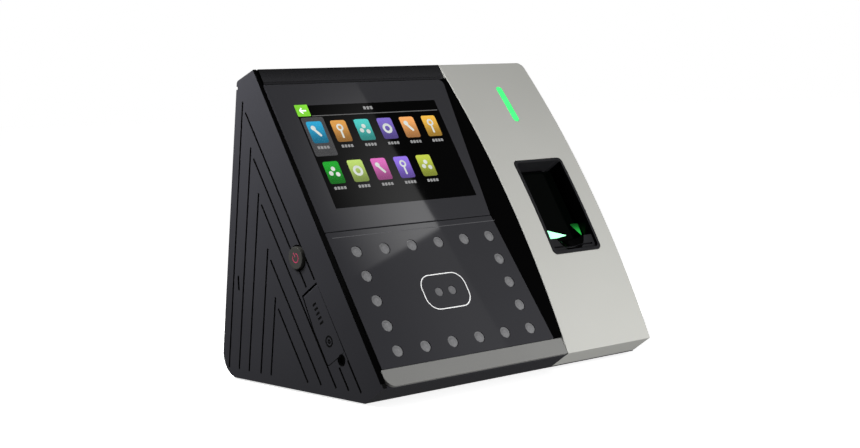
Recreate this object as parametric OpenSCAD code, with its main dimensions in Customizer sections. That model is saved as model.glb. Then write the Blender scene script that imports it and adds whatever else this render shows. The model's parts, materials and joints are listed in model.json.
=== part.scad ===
// Face and fingerprint terminal: a wedge-shaped desk unit with a sloping front.
// Lengths are in millimetres. +Z is up, the front looks along -Y, and the origin is
// at the middle of the footprint, on the surface that the rubber feet stand on.
// "Reach" is a distance forward from the foot of the rear face. On the sloping front,
// "down" is a distance down the slope from the top edge and "out" is square to it.

/* [Body] */
// Width of the body
body_w = 193.6; // [185:0.1:235]
// Height of the housing, without its feet
body_h = 165.2; // [160:0.1:200]
// Reach of the front lip, the furthest point forward
lip_reach = 139.1; // [130:0.1:170]
// Height of the front lip above the base
lip_h = 9.2; // [7:0.1:12]
// Reach of the base's front edge, under the lip
base_reach = 125; // [115:0.1:130]
// Reach of the top front edge
crown_reach = 41.8; // [38:0.1:50]
// Forward lean of the rear face, in degrees
rear_lean = 9.3; // [7:0.1:10]
// Fall of the roof from its front edge to its rear edge
roof_drop = 5.9; // [4:0.1:8]
// Radius of the rounded rear bottom edge
toe_r = 12; // [8:0.5:14]
// Wall of the housing
wall = 2.5; // [2:0.1:3]

/* [Side grooves] */
// Width of a groove
groove_w = 1.3; // [0.8:0.1:1.6]
// Depth of a groove
groove_deep = 1.1; // [0.5:0.1:1.3]
// Height at which the grooves start
groove_foot = 5; // [4:0.5:8]
// Extra lean of the slanting legs against the front slope, in degrees
groove_turn = 0.9; // [0:0.1:2]

/* [Sensor panel] */
// Width of the right-hand sensor panel
panel_w = 65.7; // [60:0.1:70]
// Arch of the sensor panel's face
panel_arch = 7.15; // [4:0.05:9]
// Thickness of the sensor panel's shell
panel_t = 2.4; // [2:0.1:3]
// Depth of the shell's flange on the right side
flange_deep = 4.8; // [4:0.1:7]
// Radius of the panel's top right corner
panel_corner_r = 4; // [2:0.5:6]

/* [Glass] */
// Width of the band above the glass
band_w = 9; // [7:0.1:12]
// Down position of the seam between the two glasses
seam_down = 97.7; // [96:0.1:104]
// Width of the trim strip along the lip
strip_w = 9.5; // [7:0.1:11]
// Thickness of each glass
glass_t = 2; // [1.5:0.1:2.5]
// Left margin of the glass at its top
glass_left = 2.1; // [2:0.1:3]
// How much further right the left edge is at the bottom
glass_left_run = 1.8; // [1.2:0.1:3]
// Gap between the upper glass and the sensor panel at the top
flank_top = 1.7; // [1:0.1:3]
// The same gap at the seam, its widest place
flank_mid = 11.2; // [6:0.1:13]
// The same gap at the trim strip
flank_low = 5.5; // [3:0.1:8]

/* [Display] */
// Width of the lit picture
picture_w = 97.2; // [95:0.1:99]
// Height of the lit picture
picture_h = 61.7; // [60:0.1:63]
// Left edge of the picture, from the left side
picture_left = 15.9; // [15:0.1:17]
// Down position of the picture's top edge
picture_down = 23.1; // [22:0.1:25]
// Thickness of the display panel
display_t = 3; // [2.5:0.1:3.2]

/* [Lamps and cameras] */
// Distance between infrared lamps across
lamp_pitch_x = 18.3; // [17:0.1:19]
// Distance between infrared lamps down the slope
lamp_pitch_s = 14; // [12:0.1:14.5]
// Lamps in the top row and in the bottom row
lamp_cols = 6; // [5:1:6]
// Rows of lamps, counting the top and bottom rows
lamp_rows = 5; // [4:1:5]
// Left column of lamps, from the left side
lamp_left = 17.9; // [17:0.1:20]
// Top row of lamps, below the seam
lamp_down = 12.2; // [10:0.1:13]
// Radius of a lamp's lens
lamp_r = 3.15; // [2.5:0.05:3.4]
// Distance between the two cameras
camera_gap = 9.1; // [8:0.1:14]
// Radius of a camera's front lens
camera_r = 2.5; // [2:0.05:3]

/* [Fingerprint window] */
// Width of the window in the panel
window_w = 37.9; // [34:0.1:42]
// Length of the window down the slope
window_l = 59.5; // [54:0.1:64]
// Down position of the window's top edge
window_down = 69.1; // [66:0.1:74]
// Width of the window's rim
rim_w = 1.8; // [1.4:0.1:2.4]
// Depth of the finger well
well_deep = 12; // [9:0.5:14]
// Length of the finger rest at the bottom of the well
rest_l = 8.2; // [6:0.1:10]

/* [Status light] */
// Width of the status light
status_w = 4.2; // [3:0.1:6]
// Length of the status light
status_l = 25; // [16:0.5:28]
// Down position of the status light's middle
status_down = 30.2; // [28:0.1:34]

/* [Power button] */
// Radius of the button's face
button_r = 5.9; // [5:0.1:6.2]
// Clear ring round the button's face
button_gap = 0.8; // [0.6:0.1:1]
// Travel of the button
button_travel = 1; // [0.8:0.1:1.2]
// Down position of the button
button_down = 98.7; // [96:0.1:99.5]
// How far the button's middle lies ahead of the second groove
button_ahead = 2.6; // [0:0.1:3]
// How far the button's face stands out of the side
button_proud = 1.6; // [1.2:0.1:2]

/* [Side flap] */
// Width of the flap
flap_w = 14; // [13:0.1:15]
// Length of the flap
flap_l = 38.8; // [36:0.1:40]
// Down position of the flap's hinged end
flap_down = 116.7; // [116:0.1:118]
// Depth of the flap's middle line behind the glass
flap_in = 24.6; // [24:0.1:26]
// How much wider the flap is behind, away from its hinge
flap_flare = 1.9; // [0:0.1:2]
// Thickness of the flap
flap_t = 1.5; // [1.3:0.1:1.8]
// Radius of the hinge pin
pin_r = 0.8; // [0.7:0.05:0.9]

/* [Rear] */
// Width of the connector bay
bay_w = 86; // [76:0.5:90]
// Height of the connector bay
bay_h = 36; // [32:0.5:40]
// Depth of the connector bay
bay_deep = 14; // [10:0.5:16]
// Height of the feet under the base
foot_h = 1.2; // [1:0.1:2]
// Radius of a foot
foot_r = 6; // [5:0.1:8]

/* [Hidden] */
$fn = 48;

gap = 0.2;              // between neighbouring fixed parts
run = 0.05;             // running clearance of pins and stems
touch = 0.02;           // between parts that rest on one another
lean = atan((lip_reach - crown_reach) / (body_h - lip_h));
slope_l = (body_h - lip_h) / cos(lean);
toe_back = toe_r / cos(rear_lean) + toe_r * tan(rear_lean) - toe_r;
mid_reach = (lip_reach + toe_back) / 2;
panel_x = body_w - panel_w;
strip_down = slope_l - strip_w;
display_gap = 0.3;      // between the glass and the display
frame_back = glass_t + display_gap + display_t + 0.2;  // depth of the front frame
edge_lip = 0.9;         // width of the left side's thinned front edge
edge_back = 4;          // how far back that edge is thinned
rim_t = 0.6;            // thickness of the front frame's rim over that edge
rim_foot = slope_l - 2.5;   // down position where the rim and the thinned edge end
chin_r = 3;             // radius of the front bottom edge
crown_r = 2.5;          // radius of the rear top edge
far = 30;               // reach of a cut past the body

// Unit vector of a plane vector
function unit(v) = v / norm(v);
// Where the line through p along u meets the line through q along v
function meet(p, u, q, v) =
    p + u * ((q.x - p.x) * v.y - (q.y - p.y) * v.x) / (u.x * v.y - u.y * v.x);
// Points of a rounded corner at b, between a and c
function corner(a, b, c, r, n = 8) =
    let (u = unit(a - b), v = unit(c - b), half = acos(u * v) / 2,
         hub = b + unit(u + v) * r / sin(half),
         p = b + u * r / tan(half) - hub, q = b + v * r / tan(half) - hub,
         from = atan2(p.y, p.x), turn = atan2(q.y, q.x) - from,
         sweep = turn > 180 ? turn - 360 : turn < -180 ? turn + 360 : turn)
    [for (i = [0:n]) hub + r * [cos(from + sweep * i / n), sin(from + sweep * i / n)]];
// A closed outline with each corner rounded by its own radius
function rounded(pts, radii) =
    [for (i = [0:len(pts) - 1]) each radii[i] > 0
        ? corner(pts[(i + len(pts) - 1) % len(pts)], pts[i], pts[(i + 1) % len(pts)], radii[i])
        : [pts[i]]];
// The four corners of a rectangle, and the same radius for each
function box4(x0, y0, x1, y1) = [[x0, y0], [x1, y0], [x1, y1], [x0, y1]];
function same4(r) = [r, r, r, r];

// [reach, height] of a point on the slope, and of a point on the rear face
function slope_at(down, out) =
    [crown_reach + down * sin(lean) + out * cos(lean), body_h - down * cos(lean) + out * sin(lean)];
function rear_at(up, deep) =
    [up * sin(rear_lean) + deep * cos(rear_lean), up * cos(rear_lean) - deep * sin(rear_lean)];
// Height of an arched face above the straight slope
function arch(down, rise) = 4 * rise * (down / slope_l) * (1 - down / slope_l);

// Corners of the side outline, as [reach, height]
toe = [0, 0];
base_front = [base_reach, 0];
lip = [lip_reach, lip_h];
crown = [crown_reach, body_h];
roof_rear = [(body_h - roof_drop) * tan(rear_lean), body_h - roof_drop];
chin_dir = unit(lip - base_front);
chin_in = [-chin_dir.y, chin_dir.x];
roof_dir = unit(crown - roof_rear);
roof_in = [roof_dir.y, -roof_dir.x];
cover_low = toe_r + 2.6;            // the rear cover's lower edge, up the rear face
cover_top = norm(roof_rear) - 4;    // and its upper edge
arch_steps = 28;

// The front edge, from the lip up to the crown, with its arch and set back by sunk
function front_edge(rise, sunk) =
    [for (i = [0:arch_steps]) let (down = slope_l * (1 - i / arch_steps))
        slope_at(down, arch(down, rise) - sunk)];
// The whole side outline
function side_outline(rise, sunk = 0) = concat(
    corner(roof_rear, toe, base_front, toe_r, 12),
    corner(toe, base_front, lip, chin_r),
    front_edge(rise, sunk),
    corner(crown, roof_rear, toe, crown_r));

// Places a plane outline of [reach, height] from x0 to x1, measured from the left side
module along_x(x0, x1, outline)
    translate([x0 - body_w / 2, 0, 0]) rotate([90, 0, 90]) linear_extrude(x1 - x0)
        polygon([for (p = outline) [mid_reach - p.x, p.y + foot_h]]);
// Turns [across, -down, out] into the row frame
module on_slope()
    translate([-body_w / 2, mid_reach - crown_reach, body_h + foot_h])
        rotate([90 - lean, 0, 0]) children();
// Turns [across, up, deep] into the row frame
module on_rear()
    translate([-body_w / 2, mid_reach, foot_h]) rotate([90 + rear_lean, 0, 0]) children();
// A flat plate on the slope, from an outline of [across, down]
module slope_plate(outline, out0, out1)
    translate([0, 0, out0]) linear_extrude(out1 - out0) polygon([for (p = outline) [p.x, -p.y]]);
module slope_box(x0, x1, down0, down1, out0, out1)
    translate([x0, -down1, out0]) cube([x1 - x0, down1 - down0, out1 - out0]);
module rear_plate(outline, deep0, deep1)
    translate([0, 0, deep0]) linear_extrude(deep1 - deep0) polygon(outline);
// A rod along local X, and one along local Z
module rod_x(x0, x1, r, y = 0, z = 0) translate([x0, y, z]) rotate([0, 90, 0]) cylinder(x1 - x0, r, r);
module rod_z(z0, z1, r, x = 0, y = 0) translate([x, y, z0]) cylinder(z1 - z0, r, r);

// ---- housing ----------------------------------------------------------------------------

// Foot of each groove's rear leg, and depth of its slanting leg behind the lip
rear_feet = [6.4, 15.9, 25.2, 36.1, 45.3];
slant_depths = [16.8, 25.1, 33.6, 43.9, 53.3];
slant_dir = [-sin(lean + groove_turn), cos(lean + groove_turn)];
rear_dir = [sin(rear_lean), cos(rear_lean)];
apex_over = 2.2;        // the rear leg runs this far past the meeting point
apex_short = 4.4;       // and the slanting leg stops this far short of it

// A straight groove between two points of a side, cut from x0 to x1
module groove(x0, x1, p, q) {
    w = groove_w / 2 * unit([-(q - p).y, (q - p).x]);
    along_x(x0, x1, [p + w, q + w, q - w, p - w]);
}
// Five nested pairs of grooves
module side_grooves(x0, x1)
    for (i = [0:4]) {
        leg = [rear_feet[i] + groove_foot * tan(rear_lean), groove_foot];
        low = slope_at(slope_l, -slant_depths[i]);
        slant = low + slant_dir * (groove_foot - low.y) / slant_dir.y;
        apex = meet(leg, rear_dir, slant, slant_dir);
        groove(x0, x1, leg, apex + rear_dir * apex_over);
        groove(x0, x1, slant, apex - slant_dir * apex_short);
    }

// Inside of the housing, open at the front and at the rear
function cavity() =
    let (rear_foot = meet(rear_at(0, wall), rear_dir, [0, wall], [1, 0]),
         chin_foot = meet(base_front + chin_in * wall, chin_dir, [0, wall], [1, 0]),
         rear_head = meet(rear_at(0, wall), rear_dir, crown + roof_in * wall, roof_dir))
    concat([rear_at(cover_low, -5), rear_at(cover_low, wall)],
        corner(rear_at(cover_low, wall), rear_foot, chin_foot, toe_r - wall),
        [chin_foot, chin_foot + chin_dir * far, crown + roof_in * wall + roof_dir * 2 * far,
         rear_head, rear_at(cover_top, wall), rear_at(cover_top, -5)]);

boss_r = 3.9;           // posts for the rear screws
boss_l = 11;
boss_side = 3.6;        // distance of their middles from the wall
screw_r = 1.2;
thread_r = 1.25;
// [across, up] of the four rear screws
cover_holes = [for (x = [wall + boss_side, body_w - wall - boss_side], up = [28, cover_top - 18]) [x, up]];
// [across, reach] of the four feet
feet = [for (x = [22, body_w - 22], reach = [28, base_reach - 14]) [x, reach]];
foot_sunk = 0.7;        // how deep a foot sits in the base
foot_gap = 0.1;

stem_r = 2.4;
stem_l = 9.6;           // depth of the power button's stem end behind the side
guide_deep = 7.5;       // depth of the button's guide behind the side
guide_t = 1.6;          // wall of the guide
cap_deep = 2;           // depth of the back of the button's cap behind the side
stop_gap = 0.3;         // room left behind a pressed button
well_floor = cap_deep + button_travel + stop_gap;
button_y = -button_down;
button_z = -(slant_depths[1] + (slope_l - button_down) * tan(groove_turn)) + button_ahead;

pocket_gap = 0.45;      // clear line round the flap
flap_sunk = 0.2;        // the flap's face lies this far behind the side
hinge_skin = 0.55;      // wall of the hinge barrel
pin_x = flap_sunk + hinge_skin + pin_r;     // depth of the hinge axis behind the side
barrel_r = pin_r + hinge_skin;
hinge_down = flap_down + barrel_r;
flap_end = flap_down + flap_l;
flare_down = hinge_down + 17;               // where the flap has its full width
bay_block = 6.5;                            // thickness of the pad behind the flap
bay_edge = 5;                               // and how far it reaches past the flap
pin_side = 1.6;                             // length of the pin held in each cheek
swing_gap = 0.3;                            // room round the hinge barrel and behind the flap
// Finger scoop at the flap's lower corner, and its matching notch in the flap
scoop_r = 3.2;
scoop_deep = 2.6;
scoop_down = flap_end + 2.4;
scoop_z = 2.9 - flap_in;
usb_w = 14.5;
usb_t = 7;
usb_down = flap_end - 9.6;
reset_r = 1.8;
reset_down = flap_down + 11.4;

// Outline of the flap below a height, grown by more, as [behind its middle line, -down]
function flap_outline(top, more) =
    rounded([[-flap_w / 2 - more, -flap_end - more], [flap_w / 2 + flap_flare + more, -flap_end - more],
        [flap_w / 2 + flap_flare + more, -flare_down], [flap_w / 2 + more, more - top],
        [-flap_w / 2 - more, more - top]], [1.5 + more, 1.5 + more, 12, 0, 0]);

// Catch slot in the side near the rear edge, as [reach, height] corners
catch_low = [18.9, 48];
catch_high = [20.4, 56];
catch_deep = 1.5;
step_h = 1.6;           // step under the roof's rear edge
step_deep = 1.1;
chin_start = 1.4;       // the sensor panel's chin starts this far up from the base
chin_corner = 3.6;      // the panel's thick corner reaches this far down from the lip

module housing()
color("#3c3c40")
difference() {
    union() {
        difference() {
            union() {
                along_x(0, panel_x - gap / 2, side_outline(0));
                along_x(panel_x - gap / 2, body_w - wall, side_outline(panel_arch, panel_t + gap));
                along_x(body_w - wall, body_w, side_outline(panel_arch, flange_deep + gap));
            }
            along_x(wall, body_w - wall, cavity());
            on_slope() {
                // room for the front frame, then for the trim strip
                slope_box(wall, panel_x - gap / 2, -far, bed_end + 2 * gap, -frame_back - gap, far);
                slope_box(wall, panel_x - gap / 2, -far, slope_l + far, -glass_t - 2 * gap, far);
                // the left side's front edge: sunk under the frame's rim, and thinned
                slope_box(-1, edge_lip + 1, -far, rim_foot, -rim_t - gap, far);
                slope_box(edge_lip, wall + 1, -far, rim_foot, -edge_back, far);
            }
            // room for the sensor panel's chin
            along_x(panel_x - gap / 2, body_w + 1, [
                base_front + chin_dir * chin_start - chin_in * 5,
                base_front + chin_dir * chin_start + chin_in * (panel_t + gap),
                lip + chin_dir * far + chin_in * (panel_t + gap), lip + chin_dir * far - chin_in * 5]);
            // and for its thick corner, which a thick wall would reach
            along_x(panel_x - gap / 2, body_w - wall, [
                lip - chin_dir * (chin_corner + gap),
                lip - chin_dir * (chin_corner + gap) + chin_in * (wall + gap),
                lip + chin_dir * far + chin_in * (wall + gap), lip + chin_dir * far]);
        }
        on_slope() {
            // pad behind the flap, and guide boss behind the button
            slope_box(wall / 2, bay_block, flap_down - bay_edge, scoop_down + scoop_r + 1,
                -flap_in - flap_w / 2 - bay_edge, -flap_in + flap_w / 2 + bay_edge);
            rod_x(wall / 2, guide_deep, button_r + button_gap + guide_t, button_y, button_z);
        }
        on_rear() for (h = cover_holes) rod_z(wall + gap, wall + gap + boss_l, boss_r, h.x, h.y);
    }
    difference() {
        side_grooves(-1, groove_deep);
        // no groove behind the flap, and the foremost one runs along its front edge
        on_slope() slope_box(-2, 2, flap_down - 2.2, scoop_down + 2.2, -flap_in - flap_w / 2 - 1,
            -flap_in + flap_w / 2 + pocket_gap);
        on_slope() slope_box(-2, 2, flap_down - 2.2, flap_down + 2, -flap_in, -flap_in + flap_w / 2 + 3);
    }
    side_grooves(body_w - groove_deep, body_w + 1);
    along_x(-1, catch_deep, rounded(box4(catch_low.x, catch_low.y, catch_high.x, catch_high.y), same4(0.5)));
    along_x(-1, body_w + 1, [rear_at(cover_top - 0.4, -1), rear_at(cover_top - 0.4, step_deep),
        rear_at(cover_top - 0.4 + step_h, step_deep), rear_at(cover_top - 0.4 + step_h, -1)]);
    on_slope() {
        rod_x(-1, well_floor, button_r + button_gap, button_y, button_z);
        rod_x(well_floor - 1, guide_deep + 1, stem_r + run, button_y, button_z);
        // flap pocket, its deeper end for the hinge barrel, and the finger scoop
        translate([-1, 0, -flap_in]) rotate([0, 90, 0])
            linear_extrude(1 + flap_sunk + flap_t + swing_gap) polygon(flap_outline(flap_down, pocket_gap));
        slope_box(-1, pin_x + barrel_r + swing_gap, flap_down - pocket_gap,
            hinge_down + barrel_r + swing_gap,
            -flap_in - flap_w / 2 - pocket_gap, -flap_in + flap_w / 2 + pocket_gap);
        rod_x(-1, scoop_deep, scoop_r, -scoop_down, scoop_z);
        rod_z(-flap_in - flap_w / 2 - pin_side, -flap_in + flap_w / 2 + pin_side, pin_r,
            pin_x, -hinge_down);
        slope_box(1, bay_block + 1, usb_down - usb_w / 2 - gap, usb_down + usb_w / 2 + gap,
            -flap_in - usb_t / 2 - gap, -flap_in + usb_t / 2 + gap);
        rod_x(1, bay_block + 1, reset_r + run, -reset_down, -flap_in);
    }
    on_rear() for (h = cover_holes) rod_z(wall, wall + boss_l, thread_r, h.x, h.y);
    for (f = feet) translate([f.x - body_w / 2, mid_reach - f.y, foot_h - 1])
        rod_z(0, 1 + foot_sunk, foot_r + foot_gap);
}

module rubber_feet()
color("#1b1b1c")
for (f = feet) translate([f.x - body_w / 2, mid_reach - f.y, 0])
    rod_z(0, foot_h + foot_sunk - touch, foot_r);

// ---- front frame and glass --------------------------------------------------------------

display_margin = 3.5;
display_x0 = picture_left - display_margin;
display_x1 = picture_left + picture_w + display_margin;
display_s0 = picture_down - display_margin;
display_s1 = picture_down + picture_h + display_margin;
lamp_s0 = seam_down + lamp_down;
lamp_right = lamp_left + (lamp_cols - 1) * lamp_pitch_x;
lamp_s1 = lamp_s0 + (lamp_rows - 1) * lamp_pitch_s;
camera_s = (lamp_s0 + lamp_s1) / 2;
camera_x = (lamp_left + lamp_right) / 2;
bed_end = strip_down + 1.2;         // down position where the frame's bed ends
strip_left = 2.9;                   // left edge of the trim strip
lamps = [for (i = [0:lamp_cols - 1], j = [0:lamp_rows - 1])
    if (i == 0 || i == lamp_cols - 1 || j == 0 || j == lamp_rows - 1)
        [lamp_left + i * lamp_pitch_x, lamp_s0 + j * lamp_pitch_s]];
cameras = [for (k = [-1, 1]) [camera_x + k * camera_gap / 2, camera_s]];

// Left and right edges of the glass at a distance down the slope
function left_edge(down) = glass_left + glass_left_run * (down - band_w) / (strip_down - band_w);
function right_edge(down) = panel_x - (down < seam_down
    ? flank_top + (flank_mid - flank_top) * (down - band_w) / (seam_down - band_w)
    : flank_mid + (flank_low - flank_mid) * (down - seam_down) / (strip_down - seam_down));
function glass_outline(s0, s1, radii) =
    rounded([[left_edge(s0), s0], [right_edge(s0), s0], [right_edge(s1), s1], [left_edge(s1), s1]], radii);

glass_gap = 0.3;                    // between a glass and its neighbours
glass_sunk = 0.05;                  // how far the glass lies behind the slope
lens_gap = 0.1;                     // clear ring round a lens
lamp_room = lamp_r + 1.2;           // clear space round the middles of the outer lamps
rim_edge = rim_foot - gap;
// The rim's outline, as [across, down], and the web under it from one edge across
function rim_outline(x0) = [[x0, -10], [left_edge(-10) - glass_gap, -10],
    [left_edge(strip_down) - glass_gap, strip_down - glass_gap], [strip_left - gap, strip_down - glass_gap],
    [strip_left - gap, rim_edge], [x0, rim_edge]];

module front_frame()
color("#141416")
difference() {
    intersection() {
        along_x(0, panel_x - gap, side_outline(0));
        on_slope() union() {
            slope_box(wall + gap, body_w, -10, band_w, -frame_back, 5);
            slope_box(wall + gap, body_w, band_w - 1, bed_end, -frame_back, -glass_t - gap);
            // rim over the left side's front edge, and the bed that it stands on
            slope_plate(rim_outline(0), -rim_t, 5);
            slope_plate(rim_outline(edge_lip + gap), -glass_t - 2 * gap, -rim_t + 0.1);
            slope_box(edge_lip + gap, wall + 1, -10, bed_end, -edge_back + gap, -glass_t - gap);
            slope_box(edge_lip + gap, wall - gap / 2, strip_down, rim_edge, -edge_back + gap, -glass_t - gap);
        }
    }
    on_slope() {
        // stepped rim below the band, and the sunk line at the band's left end
        slope_box(strip_left, body_w, band_w - 1.1, band_w + 1, -0.5, 5);
        slope_box(-1, strip_left, -10, rim_foot, -0.15, 5);
        slope_box(display_x0 - gap, display_x1 + gap, display_s0 - gap, display_s1 + gap, -far, far);
        slope_box(lamp_left - lamp_room, lamp_right + lamp_room,
            lamp_s0 - lamp_room, lamp_s1 + lamp_room, -far, far);
        for (h = tray_holes) rod_z(-frame_back - 1, -frame_back + 2, 0.8, h.x, -h.y);
    }
}

module screen_glass()
color("#1d1d22")
on_slope() slope_plate(glass_outline(band_w + 2 * glass_gap, seam_down - glass_gap, [1, 3.5, 0.5, 0.5]),
    -glass_t - glass_sunk, -glass_sunk);

module lamp_window()
color("#26262b")
on_slope() difference() {
    slope_plate(glass_outline(seam_down + glass_gap, strip_down - gap, same4(0.5)),
        -glass_t - glass_sunk, -glass_sunk);
    for (p = lamps) rod_z(-10, 5, lamp_r + lens_gap, p.x, -p.y);
    for (p = cameras) rod_z(-10, 5, camera_r + lens_gap, p.x, -p.y);
}

module trim_strip()
color("#808080")
on_slope() slope_plate(rounded(box4(strip_left, strip_down, panel_x - gap, slope_l - glass_gap),
    [0.6, 0.4, 0.4, 6]), -glass_t, 0.1);

// ---- sensor panel -----------------------------------------------------------------------

window_off = 1.8;       // the window lies this far right of the panel's middle
window_x = panel_x + (panel_w - window_w) / 2 + window_off;
window_s1 = window_down + window_l;
window_mid_x = window_x + window_w / 2;
window_mid_s = window_down + window_l / 2;
status_x = window_mid_x + 0.6;

// A strip of the panel's arched face between two depths
function face_band(sunk0, sunk1) = concat(front_edge(panel_arch, sunk0),
    [for (i = [arch_steps:-1:0]) front_edge(panel_arch, sunk1)[i]]);

module sensor_panel()
color("#b4b4b0")
difference() {
    union() {
        along_x(panel_x, body_w, concat(front_edge(panel_arch, 0),
            [for (i = [arch_steps:-1:1]) front_edge(panel_arch, panel_t)[i]],
            [lip - chin_dir * chin_corner + chin_in * panel_t,
             base_front + chin_dir * (chin_start + gap) + chin_in * panel_t,
             base_front + chin_dir * (chin_start + gap)]));
        intersection() {
            along_x(body_w - panel_t, body_w, face_band(0, flange_deep));
            along_x(0, body_w + 1, side_outline(panel_arch));
        }
    }
    on_slope() {
        slope_plate(rounded(box4(window_x, window_down, window_x + window_w, window_s1), same4(3)),
            -far, far);
        slope_plate(rounded(box4(status_x - status_w / 2, status_down - status_l / 2,
            status_x + status_w / 2, status_down + status_l / 2), same4(status_w / 2 - 0.1)), -far, far);
        difference() {
            slope_box(body_w - panel_corner_r, body_w + 1, -5, panel_corner_r, -far, far);
            rod_z(-2 * far, 2 * far, panel_corner_r, body_w - panel_corner_r, -panel_corner_r);
        }
    }
}

// Black side of the panel: a ruled wedge between the glass's edge and the panel's edge
flank_steps = 24;
flank_top_s = band_w + 0.3;
flank_low_s = strip_down - 0.2;
flank_sections = [for (i = [0:flank_steps])
    let (down = flank_top_s + (flank_low_s - flank_top_s) * i / flank_steps,
         x0 = right_edge(down) + gap, x1 = panel_x - gap)
    [[x0, -down, -glass_t - 0.1], [x0, -down, -0.4], [x1, -down, arch(down, panel_arch) - 0.3],
     [x1, -down, -glass_t - 0.1]]];

module panel_flank()
color("#0a0a0b")
on_slope() polyhedron([for (s = flank_sections) each s],
    concat([[0, 1, 2, 3], [for (k = [3:-1:0]) flank_steps * 4 + k]],
        [for (i = [0:flank_steps - 1], k = [0:3])
            [i * 4 + k, (i + 1) * 4 + k, (i + 1) * 4 + (k + 1) % 4, i * 4 + (k + 1) % 4]]));

rest_sunk = 1.6;        // the finger rest lies this far behind the panel's face
scallop_r = 15;         // radius of the hollow across the rest
scallop_z = 17.5;       // and the height of its middle over the slope
scallop_tip = 62;
slot_down = window_s1 - 5.2;    // thin line across the rest
slot_w = 1;

module window_frame()
color("#1a1a1c")
difference() {
    intersection() {
        along_x(0, body_w, face_band(-0.2, well_deep));
        on_slope() slope_plate(rounded(box4(window_x + 0.1, window_down + 0.1,
            window_x + window_w - 0.1, window_s1 - 0.1), same4(2.9)), -far, far);
    }
    difference() {
        on_slope() slope_plate(rounded(box4(window_x + rim_w, window_down + rim_w,
            window_x + window_w - rim_w, window_s1 - rim_w), same4(2)), -far, far);
        // finger rest: sunk a little, hollowed across its middle
        difference() {
            along_x(0, body_w, face_band(rest_sunk, well_deep));
            on_slope() {
                slope_box(0, body_w, -2 * far, window_s1 - rim_w - rest_l, -2 * far, 2 * far);
                translate([window_mid_x, -window_s1 + 8, scallop_z]) rotate([scallop_tip, 0, 0])
                    cylinder(2 * far, scallop_r, scallop_r, center = true);
                slope_box(window_x + rim_w + 2, window_x + window_w - rim_w - 2,
                    slot_down, slot_down + slot_w, 2, far);
            }
        }
    }
}

prism_margin = 2.6;
prism_t = 3.6;
module sensor_prism()
color("#203228")
on_slope() translate([0, 0, arch(window_mid_s, panel_arch) - well_deep + 0.4])
    slope_plate(rounded(box4(window_x + rim_w + prism_margin, window_down + rim_w + prism_margin,
        window_x + window_w - rim_w - prism_margin, window_s1 - rim_w - rest_l - 0.6), same4(1.5)),
        -0.1, prism_t);

module_back = 11;       // depth of the sensor's closed module behind the well
module_front = 1.3;
module_cup = 2.6;       // depth of the hollow under the block
module sensor_module()
color("#2b2b2e")
on_slope() translate([0, 0, arch(window_mid_s, panel_arch) - well_deep]) difference() {
    slope_plate(rounded(box4(window_x - 1.5, window_down + 1, window_x + window_w + 1.5, window_s1 - 1),
        same4(2)), -module_back, -module_front);
    slope_plate(rounded(box4(window_x + 6, window_down + 8, window_x + window_w - 6, window_s1 - 18),
        same4(2)), -module_cup, 1);
}

module status_light()
color("#52e07a")
intersection() {
    along_x(0, body_w, face_band(-0.15, panel_t + 1.2));
    on_slope() slope_plate(rounded(box4(status_x - status_w / 2 + 0.08, status_down - status_l / 2 + 0.08,
        status_x + status_w / 2 - 0.08, status_down + status_l / 2 - 0.08),
        same4(status_w / 2 - 0.2)), -far, far);
}

// ---- behind the glass -------------------------------------------------------------------

tray_margin = 5;
tray_t = 1.2;
tray_out = -frame_back - 0.1;
tray_rim = 12;          // width of the tray's raised rim
tray_holes = [for (x = [display_x0 - tray_margin / 2, display_x1 + tray_margin / 2],
    s = [display_s0 + 6, display_s1 - 6]) [x, s]];

module display_panel()
color("#0c0c10")
on_slope() slope_plate(rounded(box4(display_x0, display_s0, display_x1, display_s1), same4(1)),
    -glass_t - display_gap - display_t, -glass_t - display_gap);

module display_tray()
color("#9a9c9e")
on_slope() difference() {
    slope_plate(rounded(box4(display_x0 - tray_margin, display_s0 - 2.2,
        display_x1 + tray_margin, display_s1 + 2.2), same4(2)), tray_out - tray_t, tray_out);
    slope_plate(rounded(box4(display_x0 + tray_rim, display_s0 + tray_rim,
        display_x1 - tray_rim, display_s1 - tray_rim), same4(3)),
        tray_out - tray_t - 1, tray_out - tray_t / 2);
    for (h = tray_holes) rod_z(-far, 0, 1.1, h.x, -h.y);
}

module tray_screws()
color("#8d9094")
on_slope() for (h = tray_holes) {
    rod_z(tray_out - tray_t - 1.1, tray_out - tray_t - touch, 1.7, h.x, -h.y);
    rod_z(tray_out - tray_t - 0.1, tray_out + 1.6, 0.75, h.x, -h.y);
}

lamp_board_out = -frame_back - 0.9;
board_t = 1.6;
lens_foot = glass_t + 0.3;          // the lamps' and cameras' cases end here behind the slope
camera_half = [15.5, 10.5];         // half the size of the camera board
camera_case_r = 4.2;
lamp_case_r = 3.6;
dome_r = lamp_r * 1.6;              // radius of a lamp's domed end
module lamp_board()
color("#1f5a34")
on_slope() difference() {
    slope_plate(rounded(box4(lamp_left - 8, lamp_s0 - 7.5, lamp_right + 8, lamp_s1 + 7), same4(2)),
        lamp_board_out - board_t, lamp_board_out);
    slope_plate(rounded(box4(camera_x - camera_half.x - 0.5, camera_s - camera_half.y - 0.5,
        camera_x + camera_half.x + 0.5, camera_s + camera_half.y + 0.5), same4(2)), -far, 0);
}

module infrared_lamps()
color("#8a8a8c")
on_slope() for (p = lamps) translate([p.x, -p.y, 0]) {
    rod_z(lamp_board_out + touch, -lens_foot, lamp_case_r);
    rod_z(-lens_foot - 0.1, -0.55, lamp_r);
    rotate_extrude() intersection() {
        translate([0, 0.1 - dome_r]) circle(dome_r, $fn = 64);
        translate([0, -1]) square([lamp_r, 3]);
    }
}

module camera_board()
color("#1f5a34")
on_slope() slope_plate(rounded(box4(camera_x - camera_half.x, camera_s - camera_half.y,
    camera_x + camera_half.x, camera_s + camera_half.y), same4(2)), lamp_board_out - board_t, lamp_board_out);

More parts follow.
